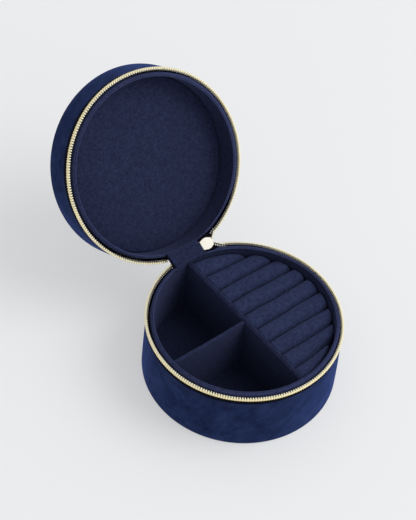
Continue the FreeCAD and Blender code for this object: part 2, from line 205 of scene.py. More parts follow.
# the teeth heads' gold is near white, paler than the cord's: painted highlight on the tops of the coil
goldLook = {
    "pattern": "tarnish", "dark": (1.0, 0.92, 0.62), "light": (1.0, 0.975, 0.80), "scales": {"Scale": 900.0},
    "rough": 0.24, "spread": 0.06, "bump": 0.08, "relief": 0.0001, "shader": {"Metallic": 0.3},
}
cardLook = {
    "pattern": "fleck", "dark": (0.28, 0.27, 0.25), "light": (0.42, 0.41, 0.38),
    "scales": {"Scale": 900.0, "Detail": 4.0}, "rough": 0.9, "bump": 0.3, "relief": 0.0002,
}


def variant(name, look, dark, light, **changes):
    return newFinish(name, dict(look, dark=dark, light=light, **changes))


navyVelvet = newFinish("navyVelvet", velvetLook)
navySuede = newFinish("navySuede", suedeLook)
rollSuede = variant("rollSuede", suedeLook, (0.0148, 0.0202, 0.051), (0.0338, 0.0436, 0.104))
# a darker copy of the navy suede for the compartment floor: painted shade where little light reaches the floor
shadedFloorSuede = variant("shadedFloorSuede", suedeLook, (0.0105, 0.0132, 0.034), (0.0187, 0.0226, 0.055))
# a lighter copy of the navy suede for the rim: painted light on the rim's upward face
litRimSuede = variant("litRimSuede", suedeLook, (0.0235, 0.030, 0.080), (0.041, 0.050, 0.124))
# a still lighter copy for the bead along the rim's inner edge: painted highlight
highlitPipingSuede = variant("highlitPipingSuede", suedeLook, (0.028, 0.035, 0.085), (0.046, 0.056, 0.13))
blackTape = newFinish("blackTape", tapeLook)
# teeth heads in the paler gold: painted highlight; the cord below keeps the deeper gold
highlitToothGold = newFinish("highlitToothGold", goldLook)
cordGold = variant("cordGold", goldLook, (0.95, 0.75, 0.34), (0.98, 0.87, 0.51), rough=0.26,
                   shader={"Metallic": 0.35})
creamGold = variant("creamGold", goldLook, (0.95, 0.88, 0.77), (1.0, 0.95, 0.87), rough=0.42,
                    scales={"Scale": 300.0}, shader={"Metallic": 0.55})
threadScales, foamScales = {"Scale": 2500.0, "Detail": 4.0}, {"Scale": 1500.0, "Detail": 4.0}
paleThread = variant("paleThread", cardLook, (0.80, 0.77, 0.70), (0.96, 0.93, 0.87), scales=threadScales)
navyThread = variant("navyThread", cardLook, (0.002, 0.003, 0.009), (0.005, 0.007, 0.02), scales=threadScales)
greyCard = newFinish("greyCard", cardLook)
darkFoam = variant("darkFoam", cardLook, (0.015, 0.015, 0.018), (0.04, 0.04, 0.046), scales=foamScales)
print("finishes:", len(bpy.data.materials))


# Mesh helpers
def polar(radius, angle, height):
    return Vector((radius * math.sin(angle), radius * math.cos(angle), height))


def smoothStep(value):
    t = min(1.0, max(0.0, value))
    return t * t * (3.0 - 2.0 * t)


def rampUp(angle, low, high):
    # 0 up to the low angle and 1 from the high one; these two are degrees
    return smoothStep((math.degrees(angle) - low) / (high - low))


def ripple(angle, size, phase):
    # an uneven hand-made edge: three slow waves round the case
    return size * (0.5 * math.sin(3 * angle + phase) + 0.3 * math.sin(7 * angle + 2.3 * phase)
                   + 0.2 * math.sin(12 * angle + 4.1 * phase))


def curved(first, middle, last, t):
    return first * (1 - t) ** 2 + middle * 2 * t * (1 - t) + last * t ** 2


def directionAt(path, index):
    return (path[min(index + 1, len(path) - 1)] - path[max(index - 1, 0)]).normalized()


def softOutline(corners, steps=5):
    # corners are (a, b, round); each round corner becomes a short curve
    points = []
    count = len(corners)
    for index, (a, b, size) in enumerate(corners):
        here = Vector((a, b))
        before = Vector(corners[index - 1][:2]) - here
        after = Vector(corners[(index + 1) % count][:2]) - here
        if size <= 0.0:
            points.append(here)
            continue
        first = here + before.normalized() * min(size, before.length * 0.49)
        last = here + after.normalized() * min(size, after.length * 0.49)
        points += [curved(first, here, last, step / steps) for step in range(steps + 1)]
    return points


def divided(points, longest):
    # extra points on the long straight runs of a closed outline
    result = []
    for index, here in enumerate(points):
        after = points[(index + 1) % len(points)]
        count = max(1, math.ceil((after - here).length / longest))
        result += [here.lerp(after, step / count) for step in range(count)]
    return result


def addObject(name, data):
    added = bpy.data.objects.new(name, data)
    bpy.context.scene.collection.objects.link(added)
    return added


def setVectors(mesh, name, vectors):
    attribute = mesh.attributes.new(name, "FLOAT_VECTOR", "POINT")
    attribute.data.foreach_set("vector", [c for vector in vectors for c in vector])


def newPiece(name, points, faces, material, place=None, sharp=50.0):
    mesh = bpy.data.meshes.new(name)
    mesh.from_pydata([(place @ point if place else point) * mm for point in points], [], faces)
    setVectors(mesh, "clothPlace", [[c * mm for c in point] for point in points])
    work = bmesh.new()
    work.from_mesh(mesh)
    bmesh.ops.remove_doubles(work, verts=work.verts, dist=1e-7)
    bmesh.ops.recalc_face_normals(work, faces=work.faces)
    work.to_mesh(mesh)
    work.free()
    mesh.shade_smooth()
    mesh.set_sharp_from_angle(angle=math.radians(sharp))
    mesh.materials.append(material)
    return addObject(name, mesh)


def loft(name, loops, material, place=None, ring=False, sharp=50.0):
    # closed loops skinned one after another, into a ring or with two end caps
    rows, width = len(loops), len(loops[0])
    faces = []
    for row in range(rows if ring else rows - 1):
        following = (row + 1) % rows
        for column in range(width):
            beside = (column + 1) % width
            faces.append((row * width + column, row * width + beside,
                          following * width + beside, following * width + column))
    if not ring:
        faces.append(tuple(range(width)))
        faces.append(tuple((rows - 1) * width + column for column in range(width)))
    return newPiece(name, [point for loop in loops for point in loop], faces, material, place, sharp)


def onHalf(half, radius, angle, drop):
    # drop is measured from the plane where the halves meet
    return polar(radius, angle, case["meeting"] + case["side"][half] * drop)


def ringPiece(name, half, outline, material, count, move=None, ends=(0.0, fullTurn), sharp=50.0, reshape=None):
    # a closed outline of (radius, drop) swept round one half, its points moved at every angle
    first, last = ends
    whole = last - first > fullTurn - 1e-6
    loops = []
    for step in range(count):
        angle = first + (last - first) * step / (count if whole else count - 1)
        moved = [move(angle, *point) for point in outline] if move else outline
        loops.append([onHalf(half, radius, angle, drop) for radius, drop in moved])
    if reshape:
        reshape(half, loops)
    return loft(name, loops, material, openPlace[half], whole, sharp)


def evaluated(piece, modifier):
    # the modifier's result becomes the mesh
    made = bpy.data.meshes.new_from_object(piece.evaluated_get(bpy.context.evaluated_depsgraph_get()))
    piece.modifiers.remove(modifier)
    piece.data = made
    return piece


def joined(name, pieces):
    # several shells as one piece
    work = bmesh.new()
    for piece in pieces:
        work.from_mesh(piece.data)
    work.to_mesh(pieces[0].data)
    work.free()
    for piece in pieces[1:]:
        bpy.data.objects.remove(piece)
    pieces[0].name = name
    return pieces[0]


def label(piece, slot, replaced):
    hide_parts(replaced)


def settle(piece, body, slot, replaced):
    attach(piece, body)
    label(piece, slot, replaced)
    return piece


# Velvet of the walls and ends
wallVelvet = {
    "thick": 0.7, "hemDrop": {"base": 6.4, "lid": 7.0}, "hemRound": 0.5, "hemInner": 0.25, "hemWave": 0.10,
    "besideDrop": 4.0, "behindDrop": 5.0, "steep": 30.0,
    "beside": (9.5, 25.5), "behind": (-15.0, 10.5),         # degrees from the hinge
    "seam": 9.0, "seamDeep": 0.14, "seamWide": 0.7, "bulge": 0.16, "bulgeWave": 0.8, "skin": 0.2,
    "edgeRound": 1.1, "flange": 1.6, "flangeRound": 0.15, "endLift": 0.2, "endThick": 0.8, "endRound": 0.3,
    "endGap": 0.05, "phase": {"base": 0.4, "lid": 2.1},
    "lean": {"base": 0.0, "lid": 1.0},                      # the soft lid sags away from the hinge
}


def leanEnd(half, loops):
    hem = wallVelvet["hemDrop"][half]
    for loop in loops:
        for point in loop:
            along = (abs(point.z - case["meeting"]) - hem) / (case["depth"][half] - hem)
            point.y -= wallVelvet["lean"][half] * smoothStep(along)


def hemLift(half, angle):
    # the hem is higher behind the hinge strip, and highest beside the slider
    size = wallVelvet
    turned = angle if angle < math.pi else angle - fullTurn

    def within(low, high):
        return (smoothStep((turned - math.radians(low)) * size["steep"])
                * smoothStep((math.radians(high) - turned) * size["steep"]))

    hem = size["hemDrop"][half]
    return max((hem - size["besideDrop"]) * within(*size["beside"]),
               (hem - size["behindDrop"]) * within(*size["behind"]))


def makeWallVelvet(half):
    size = wallVelvet
    outer = case["radius"]
    inner = outer - size["thick"]
    flange = inner - size["flange"]
    hem, phase = size["hemDrop"][half], size["phase"][half]
    end = case["depth"][half] - size["endLift"]
    under = end - size["thick"]
    outline = divided(softOutline([
        (inner, hem, size["hemInner"]), (outer, hem, size["hemRound"]), (outer, end, size["edgeRound"]),
        (flange, end, size["flangeRound"]), (flange, under, 0.0), (inner, under, 0.0),
    ]), 1.0)

    def move(angle, radius, drop):
        along = (drop - hem) / (end - hem)
        if radius > inner + size["skin"]:
            belly = size["bulge"] * math.sin(math.pi * min(1.0, max(0.0, along)))
            radius += belly * (1.0 + ripple(angle, size["bulgeWave"], phase + 1.0))
            radius -= size["seamDeep"] * math.exp(-((drop - size["seam"]) / size["seamWide"]) ** 2)
        wave = ripple(angle, size["hemWave"], phase) - hemLift(half, angle)
        return radius, drop + wave * (1.0 - smoothStep(along * 4.0))

    return ringPiece(half + "WallVelvet", half, outline, navyVelvet, 320, move, reshape=leanEnd)


def discOutline(reach, under, face, soft, longest):
    # half section of a flat disc with one soft edge
    return divided(softOutline([(reach, under, 0.0), (reach, face, soft), (0.0, face, 0.0),
                                (0.0, under, 0.0)]), longest)


def makeEndVelvet(half):
    size = wallVelvet
    reach = case["radius"] - size["thick"] - size["flange"] - size["endGap"]
    end = case["depth"][half]
    outline = discOutline(reach, end - size["endThick"], end, size["endRound"], 4.0)
    return ringPiece(half + "EndVelvet", half, outline, navyVelvet, 160, reshape=leanEnd)


for half, endName in zip(halves, ("_bottom_velvet", "_top_velvet")):
    settle(makeWallVelvet(half), half, "navy_velvet", half + "_wall_velvet")
    settle(makeEndVelvet(half), half, "navy_velvet", half + endName)
print("velvet walls and ends")


# Lining: inner wall up to the rim, and the rim turned over the card; it stops at the hinge strip
rimEnds = (math.radians(11.0), math.radians(347.4))
strip = {"left": -11.2, "right": 9.4, "seat": 0.5, "thick": 0.6, "edge": 0.3}
wallLining = {
    "thick": 0.45, "edgeRound": 0.22, "groove": 0.3, "fade": 6.0, "wave": 0.10, "wallSway": 0.08,
    "rimSway": 0.06, "swayPhase": 0.7, "rimDrop": 0.2, "rimOuter": {"base": 52.3, "lid": 51.98},
    "rimFall": 1.35, "rimRound": 0.6, "seam": 0.02, "shoulder": 0.55, "shoulderFall": 0.45,
    "shoulderRound": 0.4, "returnDrop": 7.0, "slip": 0.33, "slipDrop": 0.3,
    # pairs are degrees from the hinge between which a change sets in or ends
    "slim": 0.5, "slimUntil": (16.5, 19.5),
    "shift": 0.95, "shiftFrom": (55.0, 90.0), "shiftUntil": (125.0, 170.0),
    "broad": {"base": 0.85, "lid": 1.0}, "broadFrom": {"base": (16.5, 19.5), "lid": (35.0, 60.0)},
    "broadUntil": {"base": (55.0, 80.0), "lid": (130.0, 170.0)},
}


def stripSeat(angle):
    # the rims are lower under the hinge strip
    if math.cos(angle) < 0.0:
        return 0.0
    across, edge = case["inside"] * math.sin(angle), strip["edge"]
    return strip["seat"] * (smoothStep((across - strip["left"] + edge) / (2 * edge))
                            * smoothStep((strip["right"] + edge - across) / (2 * edge)))


def nearRim(drop):
    return 1.0 - smoothStep((drop - wallLining["rimDrop"]) / wallLining["fade"])


def rimShift(half, angle, drop):
    # how far the soft rim of the base leans out on its right side
    if half == "lid":
        return 0.0
    side = rampUp(angle, *wallLining["shiftFrom"]) * (1.0 - rampUp(angle, *wallLining["shiftUntil"]))
    return wallLining["shift"] * side * nearRim(drop)


def rimBroad(half, angle):
    # the rim is slimmer at the slider and comes nearer to the teeth along the right side
    size = wallLining
    broad = rampUp(angle, *size["broadFrom"][half]) * (1.0 - rampUp(angle, *size["broadUntil"][half]))
    return size["broad"][half] * broad - size["slim"] * (1.0 - rampUp(angle, *size["slimUntil"]))


def rimWave(half, angle):
    return ripple(angle, wallLining["wave"], case["phase"][half])


def makeWallLining(half):
    size = wallLining
    inner, end = case["inside"], case["depth"][half] - case["endStack"]
    outer, top = inner + size["thick"], size["rimDrop"]
    outline = divided(softOutline([(inner, end, 0.0), (inner, top, size["edgeRound"]),
                                   (outer, top, size["groove"]), (outer, end, 0.0)]), 2.5)

    def move(angle, radius, drop):
        sway = ripple(angle, size["wallSway"], case["phase"][half] + size["swayPhase"])
        sink = stripSeat(angle) + rimWave(half, angle)
        return radius + rimShift(half, angle, drop) + sway * nearRim(drop), drop + sink * nearRim(drop)

    return ringPiece(half + "WallLining", half, outline, navySuede, 320, move)


def makeRimLining(half):
    size = wallLining
    outer, top = case["inside"] + size["thick"], size["rimDrop"]
    rimOuter, seam = size["rimOuter"][half], outer + size["seam"]
    fall, under = top + size["rimFall"], rimOuter - size["slip"]
    outline = softOutline([
        (seam, top, size["groove"]),
        (rimOuter - size["shoulder"], top + size["rimFall"] * size["shoulderFall"], size["shoulderRound"]),
        (rimOuter, fall, size["rimRound"]), (rimOuter, size["returnDrop"], 0.0),
        (under, size["returnDrop"], 0.0), (under, fall + size["slipDrop"], 0.0),
        (seam, top + size["thick"], 0.0),
    ])

    def move(angle, radius, drop):
        outward = rimBroad(half, angle) * (radius - outer) / (rimOuter - outer)
        sway = ripple(angle, size["rimSway"], case["phase"][half] + size["swayPhase"])
        return radius + outward + rimShift(half, angle, drop) + sway, drop + rimWave(half, angle)

    # the rim is in the lighter suede: painted light where the rim faces up
    return ringPiece(half + "RimLining", half, outline, litRimSuede, 310, move, rimEnds)


for half in halves:
    settle(makeWallLining(half), half, "navy_suede", half + "_wall_lining")
    settle(makeRimLining(half), half, "navy_suede", half + "_wall_lining")

rimPiping = {"radius": 50.52, "drop": 0.62, "round": 0.4, "over": 0.55, "spokes": 8}


def makePiping(half):
    # soft bead where the lining turns over the rim, in a still lighter suede: a painted highlight along the
    # rim's edge
    size = rimPiping
    turns = [fullTurn * spoke / size["spokes"] for spoke in range(size["spokes"])]
    outline = [(size["radius"] + size["round"] * math.cos(turn), size["drop"] + size["round"] * math.sin(turn))
               for turn in turns]

    def move(angle, radius, drop):
        inward = size["over"] * stripSeat(angle) / strip["seat"]
        return radius - inward + rimShift(half, angle, size["drop"]), drop + rimWave(half, angle)

    ends = (0.0, fullTurn) if half == "lid" else rimEnds
    return ringPiece(half + "RimPiping", half, outline, highlitPipingSuede, 260, move, ends, 80.0)


for half in halves:
    settle(makePiping(half), half, "navy_suede", half + "_wall_lining")

linerCard = {"inner": 51.08, "outer": 51.6, "top": 0.85, "slope": 1.95, "rightGap": 0.06, "leftGap": 0.02}


def makeLinerCard(half):
    # card inside the rim, its top edge sloping with the cloth
    size = linerCard
    end = case["depth"][half] - case["endStack"]
    corners = [(size["inner"], end), (size["inner"], size["top"]), (size["outer"], size["slope"]),
               (size["outer"], end)]
    outline = divided([Vector(corner) for corner in corners], 2.0)

    def move(angle, radius, drop):
        return radius + rimShift(half, angle, drop), drop

    ends = (rimEnds[0] + size["rightGap"], rimEnds[1] - size["leftGap"])
    return ringPiece(half + "LinerCard", half, outline, greyCard, 200, move, ends)


for half in halves:
    settle(makeLinerCard(half), half, "grey_card", half + "_liner_board")

floorLining = {"top": 3.5, "thick": 0.6, "round": 0.3, "gap": 0.05}


def makeFloorLining():
    size = floorLining
    face = case["meeting"] - size["top"]
    outline = discOutline(case["inside"] - size["gap"], face + size["thick"], face, size["round"], 5.0)
    # the floor lining is in the darker suede: painted shade of the deep compartments
    return ringPiece("floorLining", "base", outline, shadedFloorSuede, 120)


settle(makeFloorLining(), "base", "navy_suede", "base_floor_lining")

lidPanel = {"thick": 5.4, "round": 1.5, "crown": 0.45, "dimple": 0.1, "dimpleScale": 0.09, "gap": 0.05,
            "back": 0.3}


def makeLidPanel():
    size = lidPanel
    outer = case["depth"]["lid"] - case["endStack"]
    reach = case["inside"] - size["gap"]
    inner = outer - size["thick"]
    outline = divided(softOutline([(0.0, inner, 0.0), (reach, inner, size["round"]), (reach, outer, 0.0),
                                   (0.0, outer, 0.0)], 8), 2.0)

    def move(angle, radius, drop):
        if drop > outer - size["back"]:
            return radius, drop
        spread = radius / reach
        soft = noise.noise(polar(radius, angle, 0.0) * size["dimpleScale"]) * size["dimple"]
        return radius, drop + size["crown"] * spread ** 6 + soft * (1.0 - spread ** 4)

    return ringPiece("lidPanel", "lid", outline, navySuede, 160, move)


panel = settle(makeLidPanel(), "lid", "navy_suede", "lid_panel")
print("linings, floor and lid panel")


# Zip: tape and teeth
zipTape = {
    "stemInner": 53.35, "stemOuter": 53.70, "tail": 10.0, "hem": {"base": 6.2, "lid": 6.8}, "ledge": 54.3,
    "flare": 54.78, "flareIn": 0.35, "flareLow": 3.5, "flareTop": 3.2, "bead": 54.95, "beadInner": 54.2,
    "beadTop": 1.45, "flapInner": 53.62, "flapOuter": 53.82, "flapTop": 1.7, "flapShadeRise": 1.05,
    "shelf": 52.55, "shelfTop": 4.4, "shelfLow": 5.2, "stillFrom": 2.7, "stillOver": 2.5,
    "standRight": (40.0, 65.0), "standLeft": (278.0, 298.0),
}
teethRow = {
    "radius": 54.6, "tailDrop": 2.6, "depth": 1.6, "pitch": 1.45, "wave": 0.1, "first": math.radians(24.0),
    "lift": {"base": 0.5, "lid": 0.0}, "liftUntil": (24.0, 70.0),
    # rise, half width and share of the depth, from the foot to the tip of one head
    "levels": ((0.75, 0.36, 0.8), (0.95, 0.50, 1.0), (1.3, 0.50, 1.0), (1.6, 0.46, 0.97), (1.9, 0.42, 0.92),
               (2.2, 0.26, 0.6)),
}
zipEnds = (teethRow["first"], rimEnds[1])


def countAlong(radius, pitch):
    return int((zipEnds[1] - zipEnds[0]) * radius / pitch)


def rowDrop(half, angle):
    # how far the row sags or lifts; beside the slider the base's row is pulled up
    near = 1.0 - rampUp(angle, *teethRow["liftUntil"])
    return ripple(angle, teethRow["wave"], case["phase"][half]) - teethRow["lift"][half] * near


def besideHinge(angle):
    # 1 near the hinge, where the flap stands up over the teeth as painted shade, 0 round the front
    return 1.0 - rampUp(angle, *zipTape["standRight"]) + rampUp(angle, *zipTape["standLeft"])


def makeTape(half):
    size = zipTape
    hem, seat = size["hem"][half], teethRow["tailDrop"] + 0.02
    outline = softOutline([
        (size["stemInner"], size["tail"], 0.0), (size["stemOuter"], size["tail"], 0.0),
        (size["stemOuter"], hem, 0.0), (size["ledge"], hem, 0.1),
        (size["flare"] - size["flareIn"], size["flareLow"], 0.2), (size["flare"], size["flareTop"], 0.2),
        (size["flare"], seat, 0.1), (size["bead"], seat, 0.0), (size["bead"], size["beadTop"], 0.25),
        (size["beadInner"], size["beadTop"], 0.25), (size["beadInner"], seat, 0.0),
        (size["flapOuter"], seat, 0.0), (size["flapOuter"], size["flapTop"], 0.08),
        (size["flapInner"], size["flapTop"], 0.08), (size["flapInner"], size["flareLow"], 0.2),
        (size["shelf"], size["shelfTop"], 0.1), (size["shelf"], size["shelfLow"], 0.0),
        (size["stemInner"], size["shelfLow"], 0.0),
    ], 3)

    def move(angle, radius, drop):
        near = 1.0 - smoothStep((drop - size["stillFrom"]) / size["stillOver"])
        flap = radius < size["flapOuter"] + 0.01 and drop < size["flapTop"] + 0.3
        # beside the hinge the black flap rises over the inner side of the teeth: painted shade and painted
        # reflection, a dark sheet where the teeth lie in shade and mirror the dark lid
        rise = size["flapShadeRise"] * besideHinge(angle) if flap else 0.0
        return radius, drop + rowDrop(half, angle) * near - rise

    return ringPiece(half + "ZipTape", half, outline, blackTape, 300, move, zipEnds)


def makeTooth():
    # head of one tooth: X along the zip, Y outwards, Z towards the other row
    loops = []
    for rise, wide, deep in teethRow["levels"]:
        loop = []
        for corner in range(8):
            turn = math.pi * (corner + 0.5) / 4
            across = math.copysign(abs(math.cos(turn)) ** 0.75, math.cos(turn))
            outward = math.copysign(abs(math.sin(turn)) ** 0.6, math.sin(turn))
            loop.append(Vector((wide * across, teethRow["depth"] / 2 * deep * outward, rise)))
        loops.append(loop)
    return loft("coilTurn", loops, highlitToothGold)


zipCord = {"inner": 54.05, "outer": 55.42, "middle": 54.7, "top": 1.45, "low": 2.65, "round": 0.4, "dip": 0.3,
           "cuts": 4}


def makeCord(half):
    # gold edge behind the heads, with a dip between every two
    size = zipCord
    outline = softOutline([(size[side], size[level], size["round"]) for side, level in (
        ("inner", "low"), ("outer", "low"), ("outer", "top"), ("inner", "top"))], 3)
    turns = countAlong(teethRow["radius"], teethRow["pitch"]) - 1

    def move(angle, radius, drop):
        if radius > size["middle"]:
            share = (angle - zipEnds[0]) / (zipEnds[1] - zipEnds[0])
            radius -= size["dip"] * (0.5 - 0.5 * math.cos(fullTurn * turns * share))
        return radius, drop + rowDrop(half, angle)

    return ringPiece(half + "ZipCord", half, outline, cordGold, turns * size["cuts"] + 1, move, zipEnds, 80.0)


def buildRowTree():
    # copies of one object, evenly spaced along a path that carries its own outward direction
    tree = newGroup("rowAlongPath", "GeometryNodeTree",
                    {"Geometry": "Geometry", "Copy": "Object", "Count": "Int", "Finish": "Material"},
                    {"Geometry": "Geometry"})
    source = addNode(tree, "NodeGroupInput")
    path = addNode(tree, "GeometryNodeMeshToCurve", {"Mesh": source["Geometry"]})
    spots = addNode(tree, "GeometryNodeCurveToPoints", {
        "Curve": path["Curve"], "Count": source["Count"]}, mode="COUNT")
    outward, along = (addNode(tree, "GeometryNodeInputNamedAttribute", {"Name": name}, data_type="FLOAT_VECTOR")
                      for name in ("outward", "along"))
    facing = addNode(tree, "FunctionNodeAxesToRotation", {
        "Primary Axis": outward["Attribute"], "Secondary Axis": along["Attribute"]},
        primary_axis="Y", secondary_axis="X")
    copy = addNode(tree, "GeometryNodeObjectInfo", {"Object": source["Copy"]})
    place = addNode(tree, "GeometryNodeInstanceOnPoints", {
        "Points": spots["Points"], "Instance": copy["Geometry"], "Rotation": facing["Rotation"]})
    real = addNode(tree, "GeometryNodeRealizeInstances", {"Geometry": place["Instances"]})
    paint = addNode(tree, "GeometryNodeSetMaterial", {
        "Geometry": real["Geometry"], "Material": source["Finish"]})
    addNode(tree, "NodeGroupOutput", {"Geometry": paint["Geometry"]})
    return tree


rowTree = buildRowTree()


def rowAlong(name, path, outwards, copy, count, material):
    mesh = bpy.data.meshes.new(name)
    mesh.from_pydata([point * mm for point in path], [(i, i + 1) for i in range(len(path) - 1)], [])
    setVectors(mesh, "outward", outwards)
    setVectors(mesh, "along", [directionAt(path, i) for i in range(len(path))])
    piece = addObject(name, mesh)
    row = piece.modifiers.new("row", "NODES")
    row.node_group = rowTree
    values = {"Copy": copy, "Count": count, "Finish": material}
    for item in rowTree.interface.items_tree:
        if item.item_type == "SOCKET" and item.in_out == "INPUT" and item.name in values:
            row[item.identifier] = values[item.name]
    return evaluated(piece, row)


def ringPath(half, radius, dropAt, steps):
    first, last = zipEnds
    path, outwards = [], []
    for step in range(steps + 1):
        angle = first + (last - first) * step / steps
        path.append(openPlace[half] @ onHalf(half, radius, angle, dropAt(angle)))
        outwards.append(openPlace[half].to_3x3() @ polar(1.0, angle, 0.0))
    return path, outwards


def makeTeeth(half):
    size = teethRow
    path, outwards = ringPath(half, size["radius"], lambda angle: size["tailDrop"] + rowDrop(half, angle), 720)
    if half == "lid":
        path.reverse()
        outwards.reverse()
    count = countAlong(size["radius"], size["pitch"])
    return rowAlong(half + "ZipTeeth", path, outwards, coilTurn, count, highlitToothGold)


tapeStitch = {"radius": 53.65, "drop": 1.95, "pitch": 1.35, "length": 0.75, "high": 0.52, "proud": 0.2,
              "rise": {"right": 0.62, "left": 0.2}}
topStitch = {"radius": case["radius"] - 0.03, "drop": 9.0, "pitch": 2.3, "length": 1.3, "high": 0.27,
             "proud": 0.1, "rise": {"right": 0.0, "left": 0.0}}


def makeStitch(name, size, material):
    # one short stitch along X, lying on a face that looks along Y
    loops = []
    for along, slim in ((-0.5, 0.4), (-0.3, 1.0), (0.3, 1.0), (0.5, 0.4)):
        loops.append([Vector((size["length"] * along, size["proud"] * slim * math.sin(math.pi * corner / 3),
                              size["high"] * slim * math.cos(math.pi * corner / 3))) for corner in range(6)])
    return loft(name, loops, material)


def makeStitches(name, half, stitch, size, material):
    def dropAt(angle):
        rise = size["rise"]["right" if angle < math.pi else "left"]
        return size["drop"] + rowDrop(half, angle) - rise * besideHinge(angle)

    path, outwards = ringPath(half, size["radius"], dropAt, 480)
    return rowAlong(half + name, path, outwards, stitch, countAlong(size["radius"], size["pitch"]), material)


tapeTail = {"top": 3.7, "low": 9.0}


def makeTapeTail(half):
    # plain tape that runs on behind the velvet, from the row to the hinge
    inner, outer, low, top = zipTape["stemInner"], zipTape["stemOuter"], tapeTail["low"], tapeTail["top"]
    outline = [(inner, low), (outer, low), (outer, top), (inner, top)]
    return ringPiece(half + "TapeTail", half, outline, blackTape, 24, ends=(rimEnds[0], zipEnds[0]))


coilTurn = makeTooth()
paleStitch = makeStitch("paleStitch", tapeStitch, paleThread)
navyStitch = makeStitch("navyStitch", topStitch, navyThread)
for half in halves:
    tapeNode, teethNode = half + "_zip_tape", half + "_zip_teeth"
    settle(makeTape(half), half, "zip_tape", tapeNode)
    settle(makeTapeTail(half), half, "zip_tape", tapeNode)
    settle(makeTeeth(half), half, "gold_teeth", teethNode)
    settle(makeCord(half), half, "gold_teeth", teethNode)
    settle(makeStitches("TapeStitches", half, paleStitch, tapeStitch, paleThread), half, "zip_tape", tapeNode)
    settle(makeStitches("TopStitches", half, navyStitch, topStitch, navyThread), half, "navy_velvet",
           half + "_wall_velvet")
print("zip tapes, teeth and stitches")


# Insert: dividers and ring rolls, turned a little as a whole
insert = {"turn": math.radians(2.8), "radius": 50.5, "floor": 3.55, "levels": (12.0, 20.0, 28.0, 34.0)}
insertPlace = Matrix.Rotation(insert["turn"], 4, "Z")
# sway and swell are (size, rate, start) of a slow wave along the divider
mainDivider = {"middle": 1.25, "half": 1.35, "top": 39.9, "crest": 0.85, "steps": 60, "end": None,
               "ridges": ((-1.35, -0.35), (-0.35, 1.35)), "sway": (0.09, 0.13, 0.6), "swell": (0.12, 0.07, 2.0)}
crossDivider = {"middle": 0.4, "half": 1.15, "top": 39.8, "crest": 1.0, "steps": 40, "end": -0.2,
                "ridges": ((-1.15, 1.15),), "sway": (0.10, 0.12, 1.1), "swell": (0.1, 0.09, 0.0)}


def dividerSection(size):
    # closed (across, height) outline: straight sides and one or two round ridges on top
    side = [insert["floor"], *insert["levels"]]
    points = [Vector((-size["half"], height)) for height in side]
    for low, high in size["ridges"]:
        middle, reach = (low + high) / 2, (high - low) / 2
        for step in range(9):
            turn = math.pi * (1.0 - step / 8)
            points.append(Vector((middle + reach * math.cos(turn),
                                  size["top"] - size["crest"] * (1.0 - math.sin(turn)))))
    return points + [Vector((size["half"], height)) for height in reversed(side)]


def makeDivider(name, size):
    # the main one runs along Y from wall to wall, the cross one along X up to the main one
    section = dividerSection(size)
    main = size["end"] is None
    loops = []
    for step in range(size["steps"] + 1):
        loop = []
        for across, height in section:
            beside = size["middle"] + across
            reach = math.sqrt(insert["radius"] ** 2 - beside ** 2)
            along = -reach + ((reach if main else size["end"]) + reach) * step / size["steps"]
            top = (height - insert["floor"]) / (size["top"] - insert["floor"])
            sway, swell = (tall * math.sin(along * rate + start) * top
                           for tall, rate, start in (size["sway"], size["swell"]))
            spot = (beside + sway, along) if main else (along, beside + sway)
            loop.append(Vector((*spot, height + swell)))
        loops.append(loop)
    return loft(name, loops, navySuede, insertPlace)


settle(makeDivider("mainDivider", mainDivider), "base", "navy_suede", "main_divider_lining")
settle(makeDivider("crossDivider", crossDivider), "base", "navy_suede", "cross_divider_lining")

ringRoll = {
    "count": 9, "gap": 0.4, "top": 39.0, "rise": 5.2, "lean": 2.7, "floor": 16.6, "start": 2.75,
    "startGap": 1.0, "endRound": 2.2, "endGap": 0.05, "frontGap": 1.5, "endFall": 2.2, "fallFrom": 0.45,
    "tuck": 0.9, "tuckDeep": 0.5, "wave": 0.32, "crease": 0.14, "columns": 32, "rows": 60, "guess": 25.0,
    "fan": (0.0, 0.062, 0.054, 0.02, 0.0, 0.0, 0.0, -0.035, -0.11, 0.0),
}


def valleyLine(number, x):
    # where two rolls meet, a little wavy
    size = ringRoll
    straight = insert["radius"] - number * 2 * insert["radius"] / size["count"]
    if number in (0, size["count"]):
        return straight
    straight -= size["fan"][number] * (x - size["start"])
    wave = math.sin(x * 0.12 + number * 1.9) + 0.4 * math.sin(x * 0.31 + number * 0.8)
    return straight + size["wave"] * wave


def rollHeight(x, y, lean, number):
    size = ringRoll
    gap = size["frontGap"] if number == size["count"] - 1 else size["endGap"]
    reach = math.hypot(x, y) - (insert["radius"] - gap - size["endRound"])
    end = min(1.0, max(0.0, reach / size["endRound"]))
    spent = min(1.0, lean ** size["lean"] + end ** 3.0)
    height = size["top"] - size["rise"] * (1.0 - math.sqrt(1.0 - spent))
    height -= size["endFall"] * smoothStep((end - size["fallFrom"]) / (1.0 - size["fallFrom"]))
    height -= size["tuckDeep"] * max(0.0, 1.0 - (x - size["start"]) / size["tuck"]) ** 2
    crease = noise.noise(Vector((x * 0.16, y * 0.3, number * 7.0)))
    crease += 0.4 * noise.noise(Vector((x * 0.6, y * 0.7, number)))
    return height + size["crease"] * crease * (1.0 - lean ** 4)


def rollPoint(number, along, spread):
    # one point of the roll's top; the wavy sides and the round wall settle in three rounds
    size = ringRoll
    limit = math.sqrt(insert["radius"] ** 2 - (size["start"] + size["startGap"]) ** 2)
    x = size["guess"] * along
    for settling in range(3):
        low = max(valleyLine(number + 1, x) + size["gap"] / 2, -limit)
        high = min(valleyLine(number, x) - size["gap"] / 2, limit)
        y = low + (high - low) * spread
        x = size["start"] + (math.sqrt(insert["radius"] ** 2 - y ** 2) - size["start"]) * along
    lean = 2.0 * spread - 1.0
    if (number == 0 and lean > 0.0) or (number == size["count"] - 1 and lean < 0.0):
        lean = 0.0
    return Vector((x, y, rollHeight(x, y, abs(lean), number)))


